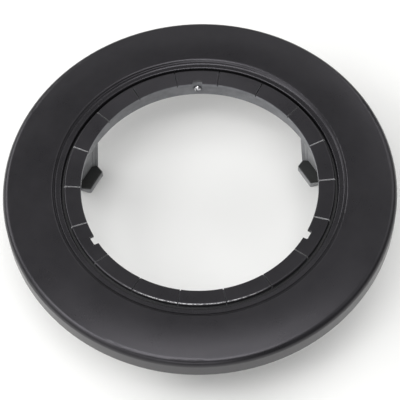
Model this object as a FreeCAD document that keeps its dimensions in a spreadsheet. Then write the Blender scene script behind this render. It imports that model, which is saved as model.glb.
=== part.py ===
"""Flanged trim ring with a turning slotted collar, carried on three hanging legs.

All lengths are millimetres, +Z is up.  The origin is on the axis of the ring, at the
level of the undersides of the three feet on which the assembly stands.  The broad trim
flange covers the edge of a round cut-out; the carrier ring hangs in that cut-out; the
slotted collar sits in the carrier ring and turns on a glide ring; three tapered channel
legs reach down from the carrier ring and end in inward feet with rubber pads.

Angles called "clock" run clockwise from +Y, seen from above.
"""
import FreeCAD, Part
import math
import os
import Sketcher

V = FreeCAD.Vector
doc = FreeCAD.newDocument("trim_ring")

# ----------------------------------------------------------------------------------
# Driving dimensions
# ----------------------------------------------------------------------------------
SIZES = [
    # alias, value, meaning
    ("face_height", 50.9, "underside of the feet to the flat face of the collar"),
    # trim flange
    ("rim_radius", 95.5, "outer radius of the trim flange"),
    ("rim_drop", 10.9, "face level down to the lower edge of the side wall"),
    ("rim_round", 3.3, "rounding between crowned top and side wall"),
    ("crown_edge_radius", 92.2, "radius where the crown meets the rounding"),
    ("crown_edge_rise", 0.65, "crown height there, above face level"),
    ("crown_start_radius", 72.0, "radius where the crown starts"),
    ("crown_rise", 1.7, "crown height at its start, above face level"),
    ("crown_arc", 120.0, "radius of the crown arc"),
    ("flange_bore", 70.1, "inner radius of the trim flange"),
    ("bore_lip", 0.45, "where the inner edge starts to slope back, above face level"),
    ("bore_round", 1.22, "rounding from that slope into the crown"),
    ("shell_wall", 2.2, "wall of the trim flange"),
    ("rim_foot_wall", 3.4, "thickened lower edge of the side wall"),
    ("boss_radius", 3.2, "screw bosses under the flange"),
    ("boss_circle", 77.0, "pitch radius of the six screw bosses"),
    ("seat_drop", 2.5, "face level down to the shelf on which the flange sits"),
    # gasket
    ("gasket_thick", 1.0, "foam gasket under the rim"),
    ("gasket_inner", 91.9, "inner radius of the gasket"),
    ("gasket_outer", 94.7, "outer radius of the gasket"),
    # carrier ring
    ("land_outer", 70.0, "outer radius of the visible land"),
    ("land_inner", 67.0, "inner radius of the land and of the skirt"),
    ("land_rise", 0.15, "land above face level"),
    ("land_lip", 0.35, "how far the outer edge of the land curves up"),
    ("land_lip_width", 0.8, "width of that curve"),
    ("land_round", 0.8, "rounding of the inner edge of the land"),
    ("skirt_wall", 1.2, "wall of the skirt"),
    ("skirt_drop", 15.6, "face level down to the lower edge of the skirt"),
    ("outer_shelf_radius", 80.6, "outer radius of the flange shelf"),
    ("shelf_thick", 1.5, "thickness of the flange shelf"),
    ("inner_shelf_radius", 63.2, "inner radius of the collar shelf"),
    ("inner_shelf_top", 2.9, "face level down to the top of the collar shelf"),
    ("inner_shelf_low", 5.2, "face level down to the underside of the collar shelf"),
    ("lug_low", 9.2, "face level down to the underside of the turning stops"),
    ("lug_inner", 63.8, "inner radius of the turning stops"),
    ("lug_width", 2.6, "width of a turning stop"),
    ("lug_clock", 3.1, "clock offset of a stop from the end of travel, degrees"),
    # glide ring
    ("glide_inner", 63.3, "inner radius of the glide ring"),
    ("glide_outer", 66.6, "outer radius of the glide ring"),
    ("glide_thick", 0.8, "thickness of the glide ring"),
    # slotted collar
    ("collar_outer", 65.6, "outer radius of the collar face"),
    ("collar_rise", 0.95, "how far the face rises from the lip to its outer edge"),
    ("collar_round", 1.0, "rounding of the outer edge of the face"),
    ("collar_inner", 57.5, "inner radius of the lip, the clear opening"),
    ("lip_thick", 1.95, "thickness of the face and lip"),
    ("wall_inner", 60.0, "inner radius of the collar wall"),
    ("wall_outer", 62.0, "outer radius of the collar wall"),
    ("wall_drop", 12.9, "face level down to the lower edge of the collar wall"),
    ("slit_width", 0.55, "width of a radial slit"),
    ("slit_depth", 1.25, "depth of a radial slit"),
    ("notch_width", 4.9, "width of a bayonet notch"),
    ("notch_root", 59.75, "radius of the notch root"),
    # lock screws
    ("screw_drop", 7.1, "face level down to the lock screw axis"),
    ("screw_radius", 1.5, "lock screw shank"),
    ("screw_tip", 66.0, "radius reached by the lock screw tips"),
    ("screw_seat", 60.45, "radius of the flat seat under the screw head"),
    ("head_radius", 1.9, "lock screw head"),
    ("head_height", 1.8, "lock screw head height"),
    ("socket_width", 2.0, "hexagon socket across flats"),
    ("socket_depth", 0.9, "hexagon socket depth"),
    # flange screws
    ("fix_radius", 1.25, "flange screw shank"),
    ("fix_head", 2.6, "flange screw head radius"),
    ("fix_head_height", 1.6, "flange screw head height"),
    ("fix_length", 4.1, "flange screw length under the head"),
    # legs
    ("leg_plane", 68.2, "distance of the leg web from the axis"),
    ("leg_wall", 1.6, "web thickness of a leg"),
    ("leg_top_drop", 16.2, "face level down to the top of the channel"),
    ("tab_top_drop", 8.4, "face level down to the top of the riveted tab"),
    ("tab_half", 9.5, "half width of the riveted tab"),
    ("leg_top_half", 12.8, "half width of the channel at the top"),
    ("leg_low_half", 7.9, "half width of the channel at the foot"),
    ("flare_in", 2.1, "how far the channel edges turn inward"),
    ("flare_out", 1.7, "how far the channel edges turn outward"),
    ("foot_edge", 61.9, "distance of the inner foot edge from the axis"),
    ("foot_half", 6.1, "half width of the inner foot edge"),
    ("foot_thick", 3.3, "thickness of the foot"),
    ("foot_trim", 6.7, "half width of the foot at its underside"),
    ("leg_corner", 0.9, "how far the inner corners of the channel are rounded"),
    ("rivet_half", 5.6, "rivet offset from the middle of a leg"),
    ("rivet_drop", 12.1, "face level down to the rivets"),
    ("rivet_radius", 1.45, "rivet shank"),
    ("rivet_head", 2.5, "rivet head radius"),
    # foot pads
    ("pad_thick", 1.0, "thickness of the rubber foot pad"),
    ("pad_inset", 0.35, "pad outline inside the foot outline"),
]
sheet = doc.addObject("Spreadsheet::Sheet", "Sizes")
VAL = {}
for row, (alias, value, meaning) in enumerate(SIZES, start=1):
    sheet.set("A%d" % row, alias)
    sheet.set("B%d" % row, str(value))
    sheet.set("C%d" % row, meaning)
    sheet.setAlias("B%d" % row, alias)
    VAL[alias] = float(value)
doc.recompute()


class Cell(object):
    """A length that carries its number and the sheet expression that gives it."""

    def __init__(self, value, text):
        self.v = float(value)
        self.t = text

    @staticmethod
    def of(x):
        return x if isinstance(x, Cell) else Cell(x, repr(float(x)))

    def __add__(self, o):
        o = Cell.of(o)
        return Cell(self.v + o.v, "(%s + %s)" % (self.t, o.t))

    __radd__ = __add__

    def __sub__(self, o):
        o = Cell.of(o)
        return Cell(self.v - o.v, "(%s - %s)" % (self.t, o.t))

    def __rsub__(self, o):
        o = Cell.of(o)
        return Cell(o.v - self.v, "(%s - %s)" % (o.t, self.t))

    def __mul__(self, o):
        o = Cell.of(o)
        return Cell(self.v * o.v, "(%s * %s)" % (self.t, o.t))

    __rmul__ = __mul__

    def __neg__(self):
        return Cell(-self.v, "(0 - %s)" % self.t)


def S(alias):
    return Cell(VAL[alias], "Sizes." + alias)


def level(drop):
    """Height of a level that lies the given drop below the collar face."""
    return S("face_height") - drop


# ----------------------------------------------------------------------------------
# Helpers
# ----------------------------------------------------------------------------------
def new_body(label):
    body = doc.addObject("PartDesign::Body", label)
    body.Label = label
    return body


def plane_of(body, role):
    for f in body.Origin.OriginFeatures:
        if f.Role == role:
            return f
    raise RuntimeError("no plane " + role)


def new_sketch(body, role, name, offset=None, turn=None):
    sk = body.newObject("Sketcher::SketchObject", name)
    sk.AttachmentSupport = [(plane_of(body, role), "")]
    sk.MapMode = "FlatFace"
    if offset is not None:
        off = Cell.of(offset)
        sk.AttachmentOffset = FreeCAD.Placement(V(0, 0, off.v), FreeCAD.Rotation())
        if off.t[0] in "(S":
            sk.setExpression("AttachmentOffset.Base.z", off.t)
    return sk


def outline(sk, pts, arcs=None):
    """Closed outline through pts; arcs maps a segment number to (radius, side).

    side is +1 when the arc bulges to the left of the walking direction, else -1.
    Every corner is held by its distances from the sketch origin, every arc by its radius.
    """
    arcs = arcs or {}
    n = len(pts)
    P = [(Cell.of(a), Cell.of(b)) for a, b in pts]
    start = {}
    end = {}
    for i in range(n):
        a = V(P[i][0].v, P[i][1].v, 0)
        b = V(P[(i + 1) % n][0].v, P[(i + 1) % n][1].v, 0)
        if i in arcs:
            rad, side = Cell.of(arcs[i][0]), arcs[i][1]
            chord = b - a
            half = chord.Length / 2.0
            rise = math.sqrt(max(rad.v ** 2 - half ** 2, 0.0))
            left = V(-chord.y, chord.x, 0).normalize()
            mid = (a + b) * 0.5 - left * (side * rise)
            first, last = (b, a) if side > 0 else (a, b)
            a0 = math.atan2(first.y - mid.y, first.x - mid.x)
            a1 = math.atan2(last.y - mid.y, last.x - mid.x)
            if a1 < a0:
                a1 += 2 * math.pi
            g = sk.addGeometry(Part.ArcOfCircle(Part.Circle(mid, V(0, 0, 1), rad.v), a0, a1), False)
            if side > 0:
                start[i], end[i] = (g, 2), (g, 1)
            else:
                start[i], end[i] = (g, 1), (g, 2)
        else:
            g = sk.addGeometry(Part.LineSegment(a, b), False)
            start[i], end[i] = (g, 1), (g, 2)
    for i in range(n):
        j = (i + 1) % n
        sk.addConstraint(Sketcher.Constraint("Coincident", end[i][0], end[i][1], start[j][0], start[j][1]))
    for i in range(n):
        for kind, c in (("DistanceX", P[i][0]), ("DistanceY", P[i][1])):
            if abs(c.v) < 1e-9:
                # a point on an axis of the sketch
                axis = -2 if kind == "DistanceX" else -1
                sk.addConstraint(Sketcher.Constraint("PointOnObject", start[i][0], start[i][1], axis))
                continue
            k = sk.addConstraint(Sketcher.Constraint(kind, -1, 1, start[i][0], start[i][1], c.v))
            if "Sizes." in c.t:
                sk.setExpression("Constraints[%d]" % k, c.t)
    for i in arcs:
        rad = Cell.of(arcs[i][0])
        k = sk.addConstraint(Sketcher.Constraint("Radius", start[i][0], rad.v))
        if "Sizes." in rad.t:
            sk.setExpression("Constraints[%d]" % k, rad.t)
    return sk


def circle(sk, cx, cy, rad):
    cx, cy, rad = Cell.of(cx), Cell.of(cy), Cell.of(rad)
    g = sk.addGeometry(Part.Circle(V(cx.v, cy.v, 0), V(0, 0, 1), rad.v), False)
    k = sk.addConstraint(Sketcher.Constraint("Radius", g, rad.v))
    if "Sizes." in rad.t:
        sk.setExpression("Constraints[%d]" % k, rad.t)
    for kind, c in (("DistanceX", cx), ("DistanceY", cy)):
        if abs(c.v) < 1e-9:
            axis = -2 if kind == "DistanceX" else -1
            sk.addConstraint(Sketcher.Constraint("PointOnObject", g, 3, axis))
            continue
        k = sk.addConstraint(Sketcher.Constraint(kind, -1, 1, g, 3, c.v))
        if "Sizes." in c.t:
            sk.setExpression("Constraints[%d]" % k, c.t)


def revolve(body, name, pts, arcs=None):
    """Ring about Z from an outline given as (radius, height)."""
    sk = new_sketch(body, "XZ_Plane", name + "_section")
    outline(sk, pts, arcs)
    f = body.newObject("PartDesign::Revolution", name)
    f.Profile = sk
    f.ReferenceAxis = (sk, ["V_Axis"])
    f.Angle = 360
    doc.recompute()
    return f


def pad(body, name, sk, length, reverse=False):
    f = body.newObject("PartDesign::Pad", name)
    f.Profile = sk
    c = Cell.of(length)
    f.Length = c.v
    if "Sizes." in c.t:
        f.setExpression("Length", c.t)
    f.Reversed = reverse
    doc.recompute()
    return f


def pocket(body, name, sk, length):
    """Pocket that is turned round when it cuts nothing."""
    before = body.Shape.Volume
    f = body.newObject("PartDesign::Pocket", name)
    f.Profile = sk
    c = Cell.of(length)
    f.Length = c.v
    if "Sizes." in c.t:
        f.setExpression("Length", c.t)
    doc.recompute()
    if not f.isValid() or body.Shape.Volume > before - 1e-4:
        f.Reversed = True
        doc.recompute()
    if body.Shape.Volume > before - 1e-4:
        raise RuntimeError("%s cuts nothing" % name)
    return f


def around(body, name, feature, count):
    f = body.newObject("PartDesign::PolarPattern", name)
    f.Originals = [feature]
    f.Axis = (plane_axis(body), [""])
    f.Angle = 360
    f.Occurrences = count
    body.Tip = f
    doc.recompute()
    return f


def plane_axis(body):
    for f in body.Origin.OriginFeatures:
        if f.Role == "Z_Axis":
            return f
    raise RuntimeError("no Z axis")


def fillet_where(body, name, base, radius, test):
    """Round every edge of the base feature whose middle point passes the test."""
    names = []
    for i, e in enumerate(base.Shape.Edges, start=1):
        p = e.valueAt((e.FirstParameter + e.LastParameter) / 2.0)
        if test(p, e):
            names.append("Edge%d" % i)
    if not names:
        raise RuntimeError("%s finds no edge" % name)
    f = body.newObject("PartDesign::Fillet", name)
    f.Base = (base, names)
    c = Cell.of(radius)
    f.Radius = c.v
    if "Sizes." in c.t:
        f.setExpression("Radius", c.t)
    doc.recompute()
    return f


PARTS = []


def keep(obj, turn_clock=None):
    """List a sub-part for export; a turn is clockwise seen from above, in degrees."""
    if turn_clock is not None:
        obj.Placement = FreeCAD.Placement(V(0, 0, 0), FreeCAD.Rotation(V(0, 0, 1), -turn_clock))
    PARTS.append(obj)


# ----------------------------------------------------------------------------------
# Trim flange: one crowned shell with a rounded outer edge, a straight side wall and
# a turned-down inner edge, and six screw bosses underneath
# ----------------------------------------------------------------------------------
flange = new_body("trim_flange")
R_ = S("rim_radius")
f1 = revolve(flange, "flange_shell", [
    (S("flange_bore"), level(S("seat_drop"))),                                    # 0
    (S("flange_bore"), level(0) + S("bore_lip")),                                 # 1
    (S("flange_bore") + 0.4, level(0) + S("bore_lip") + 0.35),                    # 2 ledge
    (S("flange_bore") + 0.6, level(0) + S("bore_lip") + 0.41),                    # 3
    (S("crown_start_radius") - 0.8, level(0) + S("crown_rise") - 0.3),            # 4 arc
    (S("crown_start_radius"), level(0) + S("crown_rise")),                        # 5 crown
    (S("crown_edge_radius"), level(0) + S("crown_edge_rise")),                    # 6 rounding
    (R_, level(0) + S("crown_edge_rise") - S("rim_round") - 0.15),                # 7
    (R_, level(S("rim_drop"))),                                                   # 8
    (R_ - S("rim_foot_wall"), level(S("rim_drop"))),                              # 9
    (R_ - S("rim_foot_wall"), level(S("rim_drop")) + 2.4),                        # 10
    (R_ - S("shell_wall"), level(S("rim_drop")) + 4.0),                           # 11
    (R_ - S("shell_wall"), level(0) + S("crown_edge_rise") - S("rim_round") - 0.4),   # 12
    (S("crown_edge_radius") - 0.7, level(0) + S("crown_edge_rise") - S("shell_wall")),  # 13
    (S("crown_start_radius") + 1.2, level(0) + S("crown_rise") - S("shell_wall")),  # 14
    (S("crown_start_radius") + 0.9, level(S("seat_drop"))),                       # 15
], arcs={4: (S("bore_round"), 1), 5: (S("crown_arc"), 1), 6: (S("rim_round") + 0.15, 1),
         12: (3.0, -1), 13: (S("crown_arc") + 6, -1)})
sk = new_sketch(flange, "XY_Plane", "boss_outline", level(S("seat_drop")))
circle(sk, S("boss_circle"), 0, S("boss_radius"))
p1 = pad(flange, "screw_boss", sk, S("seat_drop") + 0.6)
m1 = around(flange, "screw_bosses", p1, 6)
sk = new_sketch(flange, "XY_Plane", "boss_hole_outline", level(S("seat_drop")))
circle(sk, S("boss_circle"), 0, S("fix_radius"))
h1 = pocket(flange, "boss_hole", sk, 3.0)
around(flange, "boss_holes", h1, 6)
keep(flange)

# ----------------------------------------------------------------------------------
# Foam gasket, a flat ring stuck to the lower edge of the side wall
# ----------------------------------------------------------------------------------
gasket = new_body("worktop_gasket")
revolve(gasket, "gasket_ring", [
    (S("gasket_inner"), level(S("rim_drop")) - S("gasket_thick")),
    (S("gasket_outer"), level(S("rim_drop")) - S("gasket_thick")),
    (S("gasket_outer"), level(S("rim_drop"))),
    (S("gasket_inner"), level(S("rim_drop"))),
])
keep(gasket)

# ----------------------------------------------------------------------------------
# Carrier ring: visible land, flange shelf outside, skirt below, collar shelf inside,
# and six small stops that end the travel of the collar
# ----------------------------------------------------------------------------------
carrier = new_body("carrier_ring")
li = S("land_inner")
revolve(carrier, "carrier_section_ring", [
    (li, level(S("inner_shelf_top"))),                                            # 0
    (li, level(0) + S("land_rise") - S("land_round")),                            # 1 arc
    (li + S("land_round"), level(0) + S("land_rise")),                            # 2
    (S("land_outer") - S("land_lip_width"), level(0) + S("land_rise")),           # 3 arc
    (S("land_outer"), level(0) + S("land_rise") + S("land_lip")),                 # 4
    (S("land_outer"), level(S("seat_drop"))),                                     # 5
    (S("outer_shelf_radius"), level(S("seat_drop"))),                             # 6
    (S("outer_shelf_radius"), level(S("seat_drop")) - S("shelf_thick")),          # 7
    (li + S("skirt_wall"), level(S("seat_drop")) - S("shelf_thick")),             # 8
    (li + S("skirt_wall"), level(S("skirt_drop"))),                               # 9
    (li, level(S("skirt_drop"))),                                                 # 10
    (li, level(S("inner_shelf_low"))),                                            # 11
    (S("inner_shelf_radius"), level(S("inner_shelf_low"))),                       # 12
    (S("inner_shelf_radius"), level(S("inner_shelf_top"))),                       # 13
], arcs={1: (S("land_round"), 1), 3: (1.12, -1)})
# stops: each lock screw travels from clock 0 to clock 60, and its two neighbours likewise
for tag, clock in (("open", -VAL["lug_clock"]), ("locked", 60 + VAL["lug_clock"])):
    sk = new_sketch(carrier, "XY_Plane", "stop_outline_" + tag, level(S("lug_low")))
    sk.AttachmentOffset = FreeCAD.Placement(V(0, 0, level(S("lug_low")).v), FreeCAD.Rotation(V(0, 0, 1), -clock))
    outline(sk, [
        (-(S("lug_width") * 0.5), S("lug_inner")),
        (S("lug_width") * 0.5, S("lug_inner")),
        (S("lug_width") * 0.5, li + 0.5),
        (-(S("lug_width") * 0.5), li + 0.5),
    ])
    p = pad(carrier, "stop_" + tag, sk, S("lug_low") - S("inner_shelf_low") + 0.4)
    around(carrier, "stops_" + tag, p, 3)
# clearance holes for the flange screws
sk = new_sketch(carrier, "XY_Plane", "fix_hole_outline", level(S("seat_drop")) - S("shelf_thick"))
circle(sk, S("boss_circle"), 0, S("fix_radius") + 0.25)
h = pocket(carrier, "fix_hole", sk, S("shelf_thick") + 0.2)
around(carrier, "fix_holes", h, 6)
# rivet holes through the skirt, a pair for each leg; the first pair is at clock 180
for tag, side in (("a", -1), ("b", 1)):
    sk = new_sketch(carrier, "XZ_Plane", "rivet_hole_outline_" + tag, 60.0)
    circle(sk, S("rivet_half") * side, level(S("rivet_drop")), S("rivet_radius") + 0.05)
    h = pocket(carrier, "rivet_hole_" + tag, sk, 14.0)
    around(carrier, "rivet_holes_" + tag, h, 3)
keep(carrier)

# ----------------------------------------------------------------------------------
# Glide ring, a thin slippery washer between the collar and its shelf
# ----------------------------------------------------------------------------------
glide = new_body("glide_ring")
revolve(glide, "glide_washer", [
    (S("glide_inner"), level(S("inner_shelf_top"))),
    (S("glide_outer"), level(S("inner_shelf_top"))),
    (S("glide_outer"), level(S("inner_shelf_top")) + S("glide_thick")),
    (S("glide_inner"), level(S("inner_shelf_top")) + S("glide_thick")),
])
keep(glide)

# ----------------------------------------------------------------------------------
# Slotted collar: flat face with an inner lip, wall below, eighteen radial slits,
# three bayonet notches in the lip and three seats for the lock screws
# ----------------------------------------------------------------------------------
collar = new_body("slotted_collar")
c1 = revolve(collar, "collar_section_ring", [
    (S("collar_inner"), level(S("lip_thick"))),                                   # 0
    (S("collar_inner"), level(0.3)),                                              # 1 arc
    (S("collar_inner") + 0.3, level(0)),                                          # 2
    (S("collar_outer") - S("collar_round"), level(0) + S("collar_rise")),         # 3 arc
    (S("collar_outer"), level(0) + S("collar_rise") - S("collar_round")),         # 4
    (S("collar_outer"), level(S("lip_thick"))),                                   # 5
    (S("wall_outer"), level(S("lip_thick"))),                                     # 6
    (S("wall_outer"), level(S("wall_drop"))),                                     # 7
    (S("wall_inner") + 0.35, level(S("wall_drop"))),                              # 8 arc
    (S("wall_inner"), level(S("wall_drop")) + 0.35),                              # 9
    (S("wall_inner"), level(S("lip_thick")) - 0.4),                               # 10 arc
    (S("wall_inner") - 0.4, level(S("lip_thick"))),                               # 11
], arcs={1: (0.31, 1), 3: (S("collar_round"), 1), 8: (0.35, 1), 10: (0.4, -1)})
sk = new_sketch(collar, "XY_Plane", "slit_outline", level(0) + 1.5)
outline(sk, [
    (S("collar_inner") - 1.0, -(S("slit_width") * 0.5)),
    (S("collar_outer") + 1.0, -(S("slit_width") * 0.5)),
    (S("collar_outer") + 1.0, S("slit_width") * 0.5),
    (S("collar_inner") - 1.0, S("slit_width") * 0.5),
])
s1 = pocket(collar, "slit", sk, S("slit_depth") + 1.5)
around(collar, "slits", s1, 18)
sk = new_sketch(collar, "XY_Plane", "notch_outline", level(0) + 1.0)
hw = S("notch_width") * 0.5
outline(sk, [
    (-hw, S("collar_inner") - 1.5),
    (hw, S("collar_inner") - 1.5),
    (hw, S("notch_root") - 0.5),
    (hw - 0.5, S("notch_root")),
    (-hw + 0.5, S("notch_root")),
    (-hw, S("notch_root") - 0.5),
], arcs={2: (0.5, -1), 4: (0.5, -1)})
n1 = pocket(collar, "notch", sk, S("lip_thick") + 1.0)
around(collar, "notches", n1, 3)
# screw seats: a clearance hole and a flat spot face at clock 0, then every 120 degrees
sk = new_sketch(collar, "XZ_Plane", "screw_hole_outline", 0.0)
circle(sk, 0, level(S("screw_drop")), S("screw_radius") + 0.02)
h2 = pocket(collar, "screw_hole", sk, 70.0)
around(collar, "screw_holes", h2, 3)
sk = new_sketch(collar, "XZ_Plane", "spot_face_outline", 0.0)
circle(sk, 0, level(S("screw_drop")), S("head_radius") + 0.3)
h3 = pocket(collar, "spot_face", sk, S("screw_seat"))
around(collar, "spot_faces", h3, 3)
keep(collar)


# ----------------------------------------------------------------------------------
# Legs: tapered cast channel, riveted tab on top, inward foot at the bottom.
# Modelled about +Y and then turned to its clock position
# ----------------------------------------------------------------------------------
def leg_section(sk, half):
    """Open channel: web at leg_plane, edges turned inward along a slant."""
    d = S("leg_plane")
    w = S("leg_wall")
    web = half - S("flare_out")
    c = S("leg_corner")
    outline(sk, [
        (-web + c, d), (web - c, d),
        (web + c * 0.629, d - c * 0.777),
        (half, d - S("flare_in")),
        (half + w * 0.78, d - S("flare_in") + w * 0.62),
        (web + w * 0.72, d + w),
        (-web - w * 0.72, d + w),
        (-half - w * 0.78, d - S("flare_in") + w * 0.62),
        (-half, d - S("flare_in")),
        (-web - c * 0.629, d - c * 0.777),
    ], arcs={1: (c * 2.1, -1), 9: (c * 2.1, -1)})


def make_leg(label, clock):
    body = new_body(label)
    top = new_sketch(body, "XY_Plane", label + "_top_section", level(S("leg_top_drop")))
    leg_section(top, S("leg_top_half"))
    low = new_sketch(body, "XY_Plane", label + "_low_section", 0.0)
    leg_section(low, S("leg_low_half"))
    loft = body.newObject("PartDesign::AdditiveLoft", label + "_channel")
    loft.Profile = low
    loft.Sections = [top]
    loft.Ruled = True
    doc.recompute()
    # riveted tab, a flat plate that runs up behind the skirt
    sk = new_sketch(body, "XY_Plane", label + "_tab_outline", level(S("leg_top_drop")) - 1.2)
    outline(sk, [
        (-S("tab_half"), S("leg_plane")), (S("tab_half"), S("leg_plane")),
        (S("tab_half"), S("leg_plane") + S("leg_wall")), (-S("tab_half"), S("leg_plane") + S("leg_wall")),
    ])
    pad(body, label + "_tab", sk, S("leg_top_drop") - S("tab_top_drop") + 1.2)
    # foot, turned inward
    sk = new_sketch(body, "XY_Plane", label + "_foot_outline", 0.0)
    lh = S("leg_low_half")
    outline(sk, [
        (-S("foot_half"), S("foot_edge")), (S("foot_half"), S("foot_edge")),
        (lh, S("leg_plane") - S("flare_in")), (lh - S("flare_out"), S("leg_plane") + 0.8),
        (-lh + S("flare_out"), S("leg_plane") + 0.8), (-lh, S("leg_plane") - S("flare_in")),
    ])
    pad(body, label + "_foot", sk, S("foot_thick"))
    # the lower corners of the foot and channel slant in towards the underside
    for tag, side in (("a", -1), ("b", 1)):
        sk = new_sketch(body, "XZ_Plane", label + "_trim_outline_" + tag, 0.0)
        outline(sk, [
            (S("foot_trim") * side, 0), ((lh + 1.8) * side, S("foot_thick") + 1.0),
            ((lh + 4.0) * side, S("foot_thick") + 1.0), ((lh + 4.0) * side, 0),
        ])
        pocket(body, label + "_trim_" + tag, sk, 80.0)
    for tag, side in (("a", -1), ("b", 1)):
        sk = new_sketch(body, "XZ_Plane", label + "_rivet_hole_outline_" + tag, 0.0)
        circle(sk, S("rivet_half") * side, level(S("rivet_drop")), S("rivet_radius") + 0.05)
        pocket(body, label + "_rivet_hole_" + tag, sk, 80.0)
    tip = body.Tip
    fe = VAL["foot_edge"]
    fillet_where(body, label + "_foot_corners", tip, 0.9,
                 lambda p, e: abs(p.y - fe) < 0.05 and abs(abs(p.x) - VAL["foot_half"]) < 0.05
                 and abs(p.z - VAL["foot_thick"] / 2) < 0.2)
    tip = body.Tip
    tt = VAL["face_height"] - VAL["tab_top_drop"]
    fillet_where(body, label + "_tab_corners", tip, 2.0,
                 lambda p, e: abs(p.z - tt) < 0.05 and abs(abs(p.x) - VAL["tab_half"]) < 0.05)
    keep(body, clock)
    return body


LEGS = (("leg_right", 60.0), ("leg_front", 180.0), ("leg_left", 300.0))
for label, clock in LEGS:
    make_leg(label, clock)


# ----------------------------------------------------------------------------------
# Foot pads: rubber plates on the feet, on which the hung container rests
# ----------------------------------------------------------------------------------
def make_pad(label, clock):
    body = new_body(label)
    sk = new_sketch(body, "XY_Plane", label + "_outline", S("foot_thick"))
    i = S("pad_inset")
    lh = S("leg_low_half")
    outline(sk, [
        (-S("foot_half") + i, S("foot_edge") + i), (S("foot_half") - i, S("foot_edge") + i),
        (lh - i - 0.1, S("leg_plane") - S("flare_in")), (lh - S("flare_out") - i, S("leg_plane") - 0.05),
        (-lh + S("flare_out") + i, S("leg_plane") - 0.05), (-lh + i + 0.1, S("leg_plane") - S("flare_in")),
    ])
    pad(body, label + "_plate", sk, S("pad_thick"))
    tip = body.Tip
    top = VAL["foot_thick"] + VAL["pad_thick"]
    fillet_where(body, label + "_top_round", tip, 0.4,
                 lambda p, e: abs(p.z - top) < 0.02 and p.y < VAL["leg_plane"] - 0.2)
    keep(body, clock)
    return body


for label, clock in (("foot_pad_right", 60.0), ("foot_pad_front", 180.0), ("foot_pad_left", 300.0)):
    make_pad(label, clock)


# ----------------------------------------------------------------------------------
# Fasteners: turned shapes, one master each, repeated round the ring as a compound
# ----------------------------------------------------------------------------------
def turned(name, pts, arcs=None):
    """Solid of revolution about its own Z axis, from (radius, height) pairs."""
    edges = []
    n = len(pts)
    for k in range(n):
        a, b = V(pts[k][0], 0, pts[k][1]), V(pts[(k + 1) % n][0], 0, pts[(k + 1) % n][1])
        if arcs and k in arcs:
            m = arcs[k]
            edges.append(Part.Arc(a, V(m[0], 0, m[1]), b).toShape())
        else:
            edges.append(Part.LineSegment(a, b).toShape())
    face = Part.Face(Part.Wire(edges))
    return face.revolve(V(0, 0, 0), V(0, 0, 1), 360)


def group(label, solids):
    obj = doc.addObject("Part::Feature", label)
    obj.Label = label
    obj.Shape = Part.makeCompound(solids)
    obj.Placement = FreeCAD.Placement(V(0, 0, 0), FreeCAD.Rotation())
    keep(obj)
    return obj


def clock_turn(shape, clock):
    s = shape.copy()
    s.rotate(V(0, 0, 0), V(0, 0, 1), -clock)
    return s


def num(alias):
    return float(sheet.get(alias))


# lock screws: button head inside the collar wall, tip under the collar shelf
sr, hr, hh = num("screw_radius"), num("head_radius"), num("head_height")
length = num("screw_tip") - num("screw_seat")
screw = turned("lock", [(0, hh), (0, -length), (sr - 0.4, -length), (sr, -length + 0.4), (sr, 0), (hr, 0), (hr, 0.25), (0.55 * hr, hh - 0.12)],
               arcs={6: (0.88 * hr, 0.62 * hh)})
hexr = num("socket_width") / math.sqrt(3.0)
hexa = Part.makePolygon([V(hexr * math.cos(math.radians(60 * k)), hexr * math.sin(math.radians(60 * k)), hh + 0.1) for k in range(7)])
screw = screw.cut(Part.Face(hexa).extrude(V(0, 0, -num("socket_depth") - 0.1)))
# own +Z of the screw points inward along -Y
screw.rotate(V(0, 0, 0), V(1, 0, 0), 90)
screw.translate(V(0, num("screw_seat"), num("face_height") - num("screw_drop")))
group("lock_screws", [clock_turn(screw, c) for c in (0, 120, 240)])

# flange screws: pan head under the flange shelf, shank up into the boss
fr, fh, fhh = num("fix_radius"), num("fix_head"), num("fix_head_height")
fl = num("fix_length")
fix = turned("fix", [(0, 0 - fhh), (0, fl), (fr - 0.3, fl), (fr, fl - 0.3), (fr, 0), (fh, 0), (fh, -fhh + 0.6), (fh - 0.6, -fhh)],
             arcs={6: (fh - 0.18, -fhh + 0.18)})
slot = Part.makeBox(3.4, 0.6, 0.8, V(-1.7, -0.3, -fhh - 0.1))
slot2 = Part.makeBox(0.6, 3.4, 0.8, V(-0.3, -1.7, -fhh - 0.1))
fix = fix.cut(slot).cut(slot2)
fix.translate(V(num("boss_circle"), 0, num("face_height") - num("seat_drop") - num("shelf_thick")))
group("flange_screws", [clock_turn(fix, 60 * k) for k in range(6)])

# rivets: a pair through each leg tab and the skirt
rr, rh = num("rivet_radius"), num("rivet_head")
grip_in = 66.45
grip_out = num("leg_plane") + num("leg_wall")
gl = grip_out - grip_in
# domed heads: spherical caps on a thin rim, centred on the rivet's own axis
edge, dome = 0.2, 0.75
ball = (rh * rh + dome * dome) / (2.0 * dome)
mid_r = 0.6 * rh
mid_h = edge + dome - ball + math.sqrt(ball * ball - mid_r * mid_r)
rivet = turned("rivet", [(0, -edge - dome), (0, gl + edge + dome), (rh, gl + edge), (rh, gl), (rr, gl), (rr, 0), (rh, 0), (rh, -edge)],
               arcs={1: (mid_r, gl + mid_h), 7: (mid_r, -mid_h)})
# own +Z of the rivet points outward along +Y
rivet.rotate(V(0, 0, 0), V(1, 0, 0), -90)
solids = []
for clock in (60, 180, 300):
    for side in (-1, 1):
        r = rivet.copy()
        r.translate(V(side * num("rivet_half"), grip_in, num("face_height") - num("rivet_drop")))
        solids.append(clock_turn(r, clock))
group("leg_rivets", solids)

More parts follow.
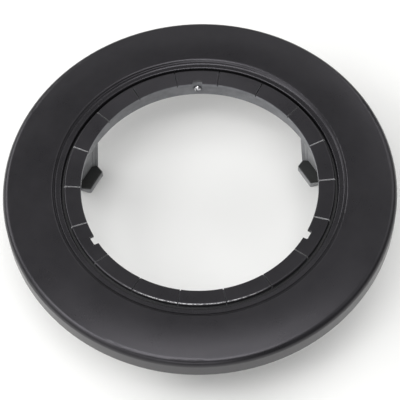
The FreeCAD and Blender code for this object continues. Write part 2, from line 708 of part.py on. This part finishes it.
# ----------------------------------------------------------------------------------
# Checks and export
# ----------------------------------------------------------------------------------
doc.recompute()
bad = []
for o in doc.Objects:
    for state in o.State:
        if state in ("Invalid", "Error"):
            bad.append("%s %s" % (o.Label, state))
for o in PARTS:
    shape = o.Shape
    if shape.isNull() or not shape.isValid() or len(shape.Solids) < 1:
        bad.append("%s shape" % o.Label)
if bad:
    raise RuntimeError("failed objects: " + ", ".join(bad))
os.makedirs("parts", exist_ok=True)
for o in PARTS:
    o.Shape.exportStep("parts/%s.step" % o.Label)
    b = o.Shape.BoundBox
    print("%-18s solids %2d  volume %9.1f  x %.1f..%.1f  y %.1f..%.1f  z %.2f..%.2f" % (
        o.Label, len(o.Shape.Solids), o.Shape.Volume, b.XMin, b.XMax, b.YMin, b.YMax, b.ZMin, b.ZMax))
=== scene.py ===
import math

import bpy
from mathutils import Matrix, Vector


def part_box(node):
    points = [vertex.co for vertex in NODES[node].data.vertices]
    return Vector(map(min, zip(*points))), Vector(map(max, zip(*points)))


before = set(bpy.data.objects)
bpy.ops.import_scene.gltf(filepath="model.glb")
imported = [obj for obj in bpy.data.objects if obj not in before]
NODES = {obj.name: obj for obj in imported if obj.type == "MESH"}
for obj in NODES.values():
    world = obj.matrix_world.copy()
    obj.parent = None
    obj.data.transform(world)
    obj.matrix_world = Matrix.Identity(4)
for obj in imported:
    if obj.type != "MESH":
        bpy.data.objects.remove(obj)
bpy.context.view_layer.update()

# ------------------------------------------------------------------------------
# Camera: fitted viewing angle, a long lens from in front and above
# ------------------------------------------------------------------------------
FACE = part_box("slotted_collar")[1].z - 0.00095  # level of the lip of the collar
UNIT = 0.0950                                 # length unit of the camera fit
TURN = math.radians(1.0388)                   # the ring stands turned a little against the camera


def add_camera():
    tilt, roll, far = 1.05669649, -0.04310138, 8.56854642
    eye = Vector((0.00132331, -0.09756875 - far * math.cos(tilt), far * math.sin(tilt)))
    aim = Vector((0.0, math.cos(tilt), -math.sin(tilt)))
    side = Vector((1.0, 0.0, 0.0))
    up = side.cross(aim)
    right = math.cos(roll) * side + math.sin(roll) * up
    top = -math.sin(roll) * side + math.cos(roll) * up
    lens_px = 1692.9828
    aim = (aim - right * (0.5 / lens_px) + top * (0.5 / lens_px)).normalized()
    right = aim.cross(top).normalized()
    top = right.cross(aim)
    turn = Matrix.Rotation(TURN, 3, "Z")
    eye, aim, right, top = turn @ eye, turn @ aim, turn @ right, turn @ top
    cam = bpy.data.cameras.new("camera")
    cam.sensor_width = 36.0
    cam.lens = lens_px * 36.0 / 400.0
    cam.clip_start = 0.05
    cam.clip_end = 30.0
    obj = bpy.data.objects.new("camera", cam)
    bpy.context.scene.collection.objects.link(obj)
    m = Matrix.Identity(4)
    for k in range(3):
        m[k][0], m[k][1], m[k][2] = right[k], top[k], -aim[k]
    place = eye * UNIT + Vector((0.0, 0.0, FACE))
    m.translation = place
    obj.matrix_world = m
    bpy.context.scene.camera = obj
    return obj


camera = add_camera()

# ------------------------------------------------------------------------------
# Material helpers
# ------------------------------------------------------------------------------


class Tree(object):
    """A small wrapper that adds and links shader nodes."""

    def __init__(self, name):
        self.mat = bpy.data.materials.new(name)
        self.mat.use_nodes = True
        self.t = self.mat.node_tree
        self.t.nodes.clear()
        self.out = self.t.nodes.new("ShaderNodeOutputMaterial")
        self.bsdf = self.t.nodes.new("ShaderNodeBsdfPrincipled")
        self.link(self.bsdf, "BSDF", self.out, "Surface")
        self.coord = self.t.nodes.new("ShaderNodeTexCoord")

    def link(self, a, s, b, d):
        self.t.links.new(a.outputs[s], b.inputs[d])

    def join(self, out, node, sock):
        self.t.links.new(out, node.inputs[sock])

    def set(self, **vals):
        for k, v in vals.items():
            self.bsdf.inputs[k.replace("_", " ")].default_value = v

    def obj(self):
        return self.coord.outputs["Object"]

    def noise(self, scale, detail=2.0, rough=0.5, vec=None, distortion=0.0):
        n = self.t.nodes.new("ShaderNodeTexNoise")
        n.inputs["Scale"].default_value = scale
        n.inputs["Detail"].default_value = detail
        n.inputs["Roughness"].default_value = rough
        n.inputs["Distortion"].default_value = distortion
        self.join(vec or self.obj(), n, "Vector")
        return n.outputs["Fac"]

    def voronoi(self, scale, feature="F1", vec=None, randomness=1.0):
        n = self.t.nodes.new("ShaderNodeTexVoronoi")
        n.feature = feature
        n.inputs["Scale"].default_value = scale
        n.inputs["Randomness"].default_value = randomness
        self.join(vec or self.obj(), n, "Vector")
        return n.outputs["Distance"]

    def remap(self, src, a, b, lo, hi, smooth=True):
        n = self.t.nodes.new("ShaderNodeMapRange")
        n.interpolation_type = "SMOOTHSTEP" if smooth else "LINEAR"
        n.clamp = True
        self.join(src, n, "Value")
        n.inputs["From Min"].default_value = a
        n.inputs["From Max"].default_value = b
        n.inputs["To Min"].default_value = lo
        n.inputs["To Max"].default_value = hi
        return n.outputs["Result"]

    def math(self, op, a, b=None, c=None):
        n = self.t.nodes.new("ShaderNodeMath")
        n.operation = op
        for k, v in enumerate((a, b, c)):
            if v is None:
                continue
            if isinstance(v, (int, float)):
                n.inputs[k].default_value = v
            else:
                self.t.links.new(v, n.inputs[k])
        return n.outputs[0]

    def vmath(self, op, a, b=None):
        n = self.t.nodes.new("ShaderNodeVectorMath")
        n.operation = op
        for k, v in enumerate((a, b)):
            if v is None:
                continue
            if isinstance(v, (tuple, list)):
                n.inputs[k].default_value = v
            else:
                self.t.links.new(v, n.inputs[k])
        return n.outputs["Value"] if op in ("DOT_PRODUCT", "LENGTH") else n.outputs["Vector"]

    def mix(self, fac, a, b):
        n = self.t.nodes.new("ShaderNodeMix")
        n.data_type = "RGBA"
        if isinstance(fac, (int, float)):
            n.inputs["Factor"].default_value = fac
        else:
            self.t.links.new(fac, n.inputs["Factor"])
        for k, v in ((6, a), (7, b)):
            if isinstance(v, (tuple, list)):
                n.inputs[k].default_value = tuple(v) + (1.0,) if len(v) == 3 else v
            else:
                self.t.links.new(v, n.inputs[k])
        return n.outputs[2]

    def bump(self, height, strength, distance, normal=None):
        n = self.t.nodes.new("ShaderNodeBump")
        if isinstance(strength, (int, float)):
            n.inputs["Strength"].default_value = strength
        else:
            self.join(strength, n, "Strength")
        n.inputs["Distance"].default_value = distance
        self.join(height, n, "Height")
        if normal is not None:
            self.join(normal, n, "Normal")
        return n.outputs["Normal"]

    def xyz(self, vec=None):
        n = self.t.nodes.new("ShaderNodeSeparateXYZ")
        self.join(vec or self.obj(), n, 0)
        return n.outputs

    def combine(self, x, y, z):
        n = self.t.nodes.new("ShaderNodeCombineXYZ")
        for k, v in enumerate((x, y, z)):
            if isinstance(v, (int, float)):
                n.inputs[k].default_value = v
            else:
                self.t.links.new(v, n.inputs[k])
        return n.outputs[0]


def polar(t):
    """Radius from the ring's axis, angle round it and height, in the object's own frame."""
    x, y, z = t.xyz()
    r = t.math("SQRT", t.math("ADD", t.math("MULTIPLY", x, x), t.math("MULTIPLY", y, y)))
    a = t.math("ARCTAN2", x, y)
    return x, y, z, r, a


# ------------------------------------------------------------------------------
# Materials
# ------------------------------------------------------------------------------
BLACK_A = (0.0060, 0.0058, 0.0066)
BLACK_B = (0.0100, 0.0096, 0.0106)
GREY_A = (0.105, 0.110, 0.118)
GREY_B = (0.150, 0.155, 0.162)
DUST = (0.10, 0.10, 0.105)


def coat(name, dark, light, rough, spread, grain=0.16, level=0.5, dusty=0.35):
    """Satin black powder coat: fine orange-peel grain, slow sheen changes and a trace of dust."""
    t = Tree(name)
    t.set(Metallic=0.0, IOR=1.5, Specular_IOR_Level=level, Specular_Tint=(0.95, 0.92, 1.0, 1.0))
    slow = t.noise(38.0, 3.0, 0.55)
    patch = t.noise(210.0, 3.0, 0.6)
    fine = t.noise(2300.0, 2.0, 0.6)
    peel = t.noise(900.0, 1.0, 0.4)
    tone = t.math("ADD", t.math("MULTIPLY", slow, 0.6), t.math("MULTIPLY", patch, 0.4))
    body = t.mix(t.remap(tone, 0.32, 0.68, 0.0, 1.0), dark, light)
    dust = t.remap(t.noise(5200.0, 2.0, 0.7), 0.70, 0.80, 0.0, dusty)
    dust = t.math("MULTIPLY", dust, t.remap(slow, 0.35, 0.7, 0.2, 1.0))
    t.colour = t.mix(dust, body, DUST)
    sheen = t.math("ADD", t.math("MULTIPLY", slow, 0.5), t.math("MULTIPLY", fine, 0.5))
    t.rough = t.remap(sheen, 0.3, 0.7, rough - spread, rough + spread, False)
    t.fine, t.peel, t.grain = fine, peel, grain
    n = t.bump(peel, grain * 0.6, 0.00012)
    t.normal = t.bump(fine, grain, 0.00006, n)
    return t


def close(t):
    """Join the kept colour, roughness and normal to the shader."""
    t.join(t.colour, t.bsdf, "Base Color")
    t.join(t.rough, t.bsdf, "Roughness")
    t.join(t.normal, t.bsdf, "Normal")
    return t.mat


def flange_coat():
    return close(coat("flange_coat", BLACK_A, BLACK_B, 0.30, 0.04))


def carrier_coat():
    return close(coat("carrier_coat", BLACK_A, BLACK_B, 0.28, 0.04))


def leg_coat():
    return close(coat("leg_coat", (0.240, 0.245, 0.252), (0.310, 0.314, 0.320), 0.36, 0.04, grain=0.10, dusty=0.2))


def collar_coat():
    """Coated casting with faint turning rings. The slit walls and the front of the face's outer edge carry a painted
    highlight in a pale metal colour, and the wall below the lip is smoother."""
    t = coat("collar_coat", BLACK_A, BLACK_B, 0.30, 0.04, grain=0.12, dusty=0.5)
    x, y, z, r, a = polar(t)
    # turning rings on the face
    rings = t.noise(1.0, 2.0, 0.6, vec=t.combine(t.math("MULTIPLY", r, 5200.0), t.math("MULTIPLY", a, 1.2), 0.0))
    # smoother wall below the lip and at its inner edge
    below = t.math("MAXIMUM", t.remap(z, FACE - 0.0016, FACE - 0.0010, 1.0, 0.0), t.remap(r, 0.0575, 0.0577, 1.0, 0.0))
    t.rough = t.math("MULTIPLY", t.rough, t.remap(below, 0.0, 1.0, 1.0, 1.1, False))
    t.colour = t.mix(below, t.colour, t.mix(t.remap(t.noise(160.0, 3.0, 0.6), 0.35, 0.65, 0.0, 1.0), GREY_A, GREY_B))
    keep = t.remap(below, 0.0, 1.0, 1.0, 0.15, False)
    flat = t.bump(t.peel, t.math("MULTIPLY", keep, t.grain * 0.6), 0.00012)
    t.normal = t.bump(t.fine, t.math("MULTIPLY", keep, t.grain), 0.00006, flat)
    t.normal = t.bump(rings, t.math("MULTIPLY", keep, 0.10), 0.00005, t.normal)
    # painted highlight in the slits: eighteen, twenty degrees apart
    off = t.math("WRAP", t.math("SUBTRACT", a, math.radians(10.0)), math.radians(10.0), math.radians(-10.0))
    reach = t.math("ABSOLUTE", t.math("MULTIPLY", r, t.math("SINE", off)))
    slit_glint = t.math("LESS_THAN", reach, 0.000292)
    slit_glint = t.math("MULTIPLY", slit_glint, t.math("GREATER_THAN", z, FACE - 0.00112))
    slit_glint = t.math("MULTIPLY", slit_glint, t.math("GREATER_THAN", r, 0.05775))
    # noise breaks up the painted highlight along each slit
    glint_noise = t.noise(1.0, 2.0, 0.6, vec=t.combine(t.math("MULTIPLY", r, 1500.0), t.math("MULTIPLY", a, 3.0), t.math("MULTIPLY", z, 1500.0)))
    slit_glint = t.math("MULTIPLY", slit_glint, t.remap(glint_noise, 0.30, 0.50, 0.45, 1.0))
    # painted highlight: the slits at the two sides, whose walls face the front light, are painted bright; those at the
    # front and back get only a faint trace
    sides = t.math("ABSOLUTE", t.math("SINE", a))
    slit_glint = t.math("MULTIPLY", slit_glint, t.remap(sides, 0.68, 0.94, 0.14, 1.0))
    # painted highlight along the front of the face's outer edge, where the front light reflects off the fillet
    edge = t.math("MULTIPLY", t.remap(r, 0.06480, 0.06500, 0.0, 1.0), t.remap(r, 0.06518, 0.06535, 1.0, 0.0))
    edge = t.math("MULTIPLY", edge, t.math("GREATER_THAN", z, FACE + 0.0003))
    front = t.math("COSINE", t.math("SUBTRACT", a, math.radians(183.0)))
    edge = t.math("MULTIPLY", edge, t.remap(front, math.cos(math.radians(34.0)), math.cos(math.radians(12.0)), 0.0, 1.0))
    edge = t.math("MULTIPLY", edge, t.remap(t.noise(1100.0, 3.0, 0.65), 0.42, 0.60, 0.06, 0.62))
    # painted highlight: pale metal colour and partial metallic wherever the slit and edge masks fall
    painted_glint = t.math("MAXIMUM", slit_glint, edge)
    t.rough = t.math("MAXIMUM", t.rough, t.math("MULTIPLY", slit_glint, 0.55))
    t.colour = t.mix(painted_glint, t.colour, (0.80, 0.80, 0.81))
    t.join(t.math("MULTIPLY", painted_glint, 0.6), t.bsdf, "Metallic")
    return close(t)


def rubber():
    t = Tree("pad_rubber")
    t.set(IOR=1.5, Specular_IOR_Level=0.3)
    cloud = t.noise(300.0, 3.0, 0.6)
    pores = t.noise(3000.0, 2.0, 0.6)
    t.join(t.mix(cloud, (0.026, 0.027, 0.027), (0.040, 0.041, 0.040)), t.bsdf, "Base Color")
    t.join(t.remap(pores, 0.3, 0.7, 0.68, 0.88, False), t.bsdf, "Roughness")
    t.join(t.bump(pores, 0.3, 0.0001), t.bsdf, "Normal")
    return t.mat


def foam():
    t = Tree("foam")
    t.set(IOR=1.45, Specular_IOR_Level=0.2)
    cells = t.voronoi(1900.0, "F1")
    t.join(t.mix(t.remap(cells, 0.1, 0.7, 0.0, 1.0), (0.008, 0.008, 0.008), (0.022, 0.022, 0.022)), t.bsdf, "Base Color")
    t.join(t.remap(t.noise(800.0), 0.3, 0.7, 0.85, 0.98, False), t.bsdf, "Roughness")
    t.join(t.bump(cells, 0.5, 0.00025), t.bsdf, "Normal")
    return t.mat


def acetal():
    t = Tree("glide_plastic")
    t.set(IOR=1.48, Specular_IOR_Level=0.4)
    slow = t.noise(120.0, 3.0)
    t.join(t.mix(slow, (0.020, 0.020, 0.021), (0.032, 0.032, 0.033)), t.bsdf, "Base Color")
    t.join(t.remap(t.noise(1400.0), 0.3, 0.7, 0.30, 0.45, False), t.bsdf, "Roughness")
    t.join(t.bump(t.noise(2600.0), 0.08, 0.00008), t.bsdf, "Normal")
    return t.mat


def steel(name, dark, light, rough):
    t = Tree(name)
    t.set(Metallic=1.0)
    cloud = t.noise(900.0, 3.0, 0.6)
    lines = t.noise(5200.0, 2.0, 0.6)
    t.join(t.mix(t.remap(cloud, 0.3, 0.7, 0.0, 1.0), dark, light), t.bsdf, "Base Color")
    t.join(t.remap(lines, 0.3, 0.7, rough - 0.06, rough + 0.08, False), t.bsdf, "Roughness")
    t.join(t.bump(lines, 0.2, 0.00004), t.bsdf, "Normal")
    return t.mat


MATERIALS = {
    "trim_flange": flange_coat(),
    "carrier_ring": carrier_coat(),
    "slotted_collar": collar_coat(),
    "worktop_gasket": foam(),
    "glide_ring": acetal(),
    "lock_screws": steel("screw_steel", (0.52, 0.52, 0.53), (0.70, 0.70, 0.71), 0.16),
    "leg_rivets": steel("rivet_steel", (0.26, 0.26, 0.26), (0.38, 0.38, 0.37), 0.38),
}
MATERIALS["flange_screws"] = MATERIALS["leg_rivets"]
leg = leg_coat()
pad = rubber()
for side in ("left", "right", "front"):
    MATERIALS["leg_" + side] = leg
    MATERIALS["foot_pad_" + side] = pad

for name, node in NODES.items():
    node.data.materials.clear()
    node.data.materials.append(MATERIALS[name])

# ------------------------------------------------------------------------------
# Stage: plain pale floor, soft studio light
# ------------------------------------------------------------------------------


def add_floor():
    t = Tree("floor_white")
    t.set(Roughness=0.6, Specular_IOR_Level=0.3)
    t.join(t.mix(t.noise(5.0, 2.0), (0.848, 0.848, 0.836), (0.862, 0.862, 0.850)), t.bsdf, "Base Color")
    mesh = bpy.data.meshes.new("floor")
    s = 6.0
    mesh.from_pydata([(-s, -s, 0), (s, -s, 0), (s, s, 0), (-s, s, 0)], [], [(0, 1, 2, 3)])
    mesh.materials.append(t.mat)
    obj = bpy.data.objects.new("floor", mesh)
    bpy.context.scene.collection.objects.link(obj)
    return obj


def add_light(name, azimuth, elevation, distance, size, power, colour=(1.0, 1.0, 1.0), size_y=None):
    """Soft box at a compass azimuth (0 = +Y, clockwise) and elevation, aimed at the ring."""
    a, e = math.radians(azimuth), math.radians(elevation)
    d = Vector((math.sin(a) * math.cos(e), math.cos(a) * math.cos(e), math.sin(e)))
    lamp = bpy.data.lights.new(name, "AREA")
    lamp.shape = "RECTANGLE"
    lamp.size = size
    lamp.size_y = size_y or size
    lamp.energy = power
    lamp.color = colour
    obj = bpy.data.objects.new(name, lamp)
    bpy.context.scene.collection.objects.link(obj)
    obj.location = d * distance + Vector((0, 0, FACE))
    obj.rotation_euler = (-d).to_track_quat("-Z", "Y").to_euler()
    return obj


add_floor()
LIGHTS = [
    ("top", 180.0, 86.0, 1.5, 0.9, 8.8, 0.9),
    ("top_front", 190.0, 70.0, 1.5, 1.0, 5.3, 0.5),
    ("left", 250.0, 50.0, 1.5, 0.8, 7.3, 0.6),
    ("left_low", 240.0, 25.0, 1.5, 1.2, 3.7, 0.6),
    ("front_low", 190.0, 26.0, 1.5, 1.0, 3.6, 0.5),
    ("back", 0.0, 35.0, 1.5, 1.6, 2.1, 0.7),
    ("left_back", 300.0, 28.0, 1.5, 1.2, 7.0, 0.6),
    ("right", 90.0, 45.0, 1.5, 1.0, 1.3, 0.7),
    ("right_back", 45.0, 35.0, 1.5, 1.0, 3.0, 0.7),
    ("back_high", 0.0, 65.0, 1.5, 1.0, 0.3, 0.5),
]
for name, azimuth, elevation, distance, width, power, height in LIGHTS:
    add_light(name, azimuth, elevation, distance, width, power, size_y=height)

world = bpy.data.worlds.new("soft_room")
world.use_nodes = True
bg = world.node_tree.nodes["Background"]
bg.inputs["Color"].default_value = (1.0, 1.0, 1.0, 1.0)
bg.inputs["Strength"].default_value = 0.20
bpy.context.scene.world = world
bpy.context.scene.view_settings.view_transform = "Standard"
